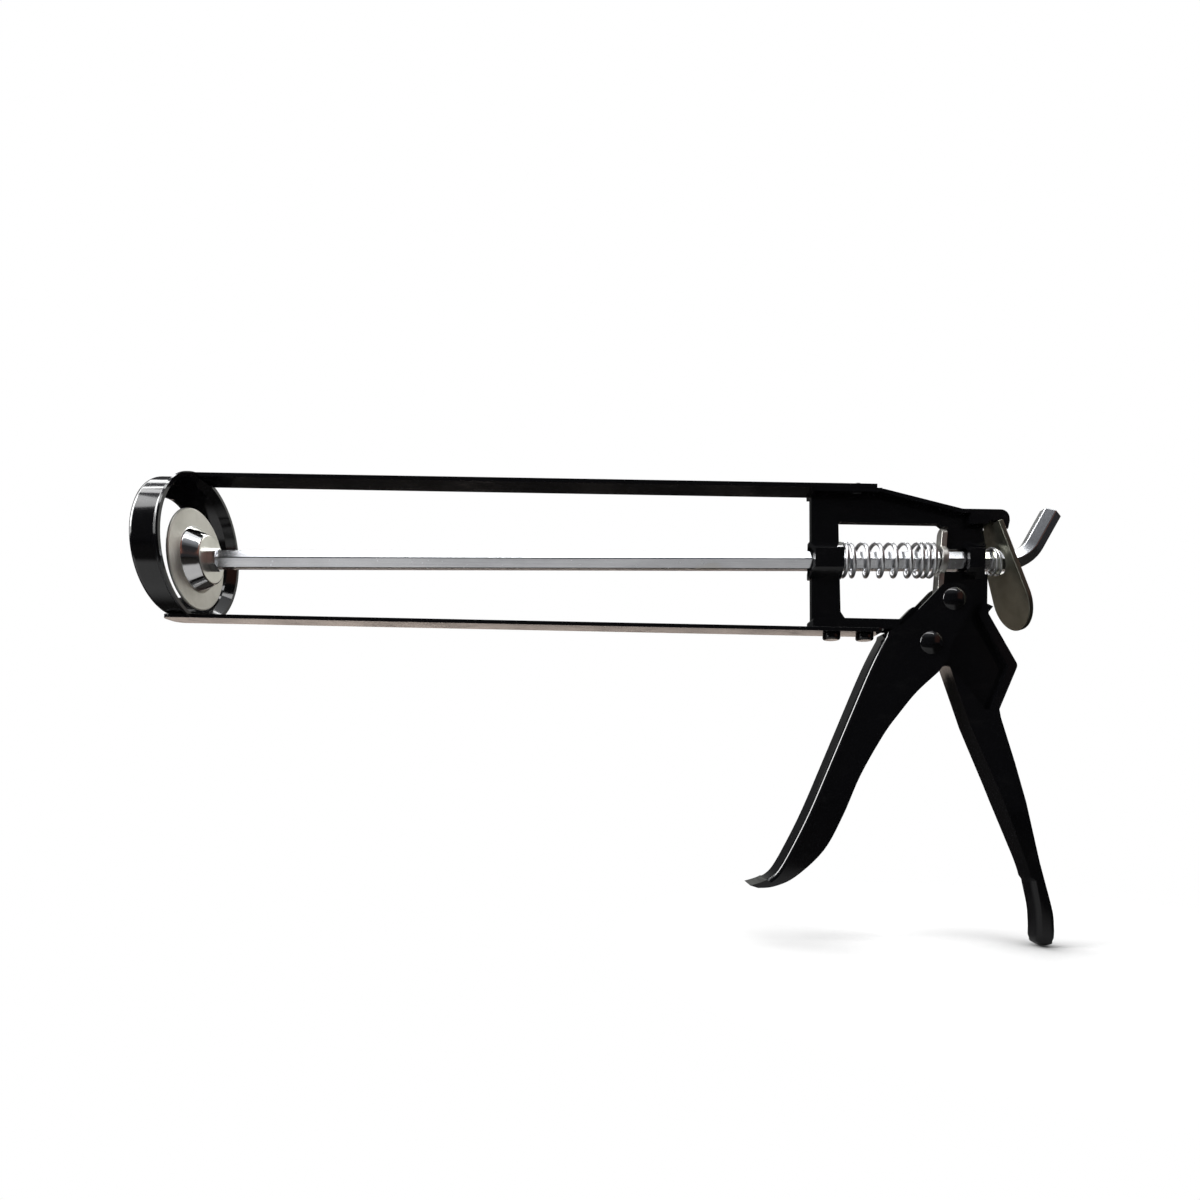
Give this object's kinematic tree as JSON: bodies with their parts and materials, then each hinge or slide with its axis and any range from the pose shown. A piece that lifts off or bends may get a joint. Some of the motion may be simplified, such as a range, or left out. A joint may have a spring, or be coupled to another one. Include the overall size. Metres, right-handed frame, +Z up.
{
  "type": "caulking gun",
  "caption": "Skeleton caulking gun with a hexagonal push rod, sprung trigger and canted release lever, for a standard sealant cartridge.",
  "frame": {"origin": "centre of the nozzle hole on the front face of the cartridge ring", "axes": "+X back along the straps to the handle, +Z up towards the top strap, +Y across the gun to its right side as seen by the user"},
  "size_m": [0.3486, 0.0576, 0.1764],
  "materials": {
    "black_enamel": "gloss black enamel",
    "bright_zinc": "bright zinc plate",
    "spring_steel": "bright plated wire",
    "satin_zinc": "satin zinc plate"
  },
  "bodies": {
    "frame": {"front_ring": "black_enamel", "top_strap": "black_enamel", "bottom_strap": "black_enamel", "body_left": "black_enamel", "body_right": "black_enamel", "top_strap_rivets": "black_enamel", "bottom_strap_rivets": "black_enamel", "trigger_pivot_bush": "bright_zinc", "main_spring": "spring_steel", "release_spring": "spring_steel"},
    "trigger": {"trigger": "black_enamel", "trigger_pivot_rivet": "black_enamel", "pusher_pin": "black_enamel", "pusher_sleeve": "bright_zinc"},
    "drive_plate": {"drive_plate": "bright_zinc"},
    "rod": {"push_rod": "bright_zinc", "piston_disc": "satin_zinc", "piston_lock_nut": "bright_zinc", "piston_washer": "bright_zinc", "piston_nut": "bright_zinc"},
    "release_lever": {"release_lever": "satin_zinc"}
  },
  "joints": [
    {"name": "trigger_squeeze", "type": "hinge", "parent": "frame", "child": "trigger", "pos_m": [0.2978, 0, -0.0321], "axis": [0, -1, 0], "range_deg": [0, 45], "stiffness_Nm_per_rad": 0.6, "springref_deg": -8.59},
    {"name": "drive_stroke", "type": "slide", "parent": "frame", "child": "drive_plate", "axis": [-0.9999, 0, -0.0168], "range_m": [0, 0.0145], "deforming": ["main_spring"]},
    {"name": "rod_slide", "type": "slide", "parent": "frame", "child": "rod", "axis": [0.9999, 0, 0.0168], "range_m": [0, 0.231]},
    {"name": "release_tilt", "type": "hinge", "parent": "frame", "child": "release_lever", "pos_m": [0.321, 0, 0.016], "axis": [0, 1, 0], "range_deg": [0, 7], "stiffness_Nm_per_rad": 0.3, "springref_deg": -5.73, "deforming": ["release_spring"]}
  ],
  "couplings": [
    {"joint": "drive_stroke", "follows": "trigger_squeeze", "m_per_rad": 0.0183}
  ]
}
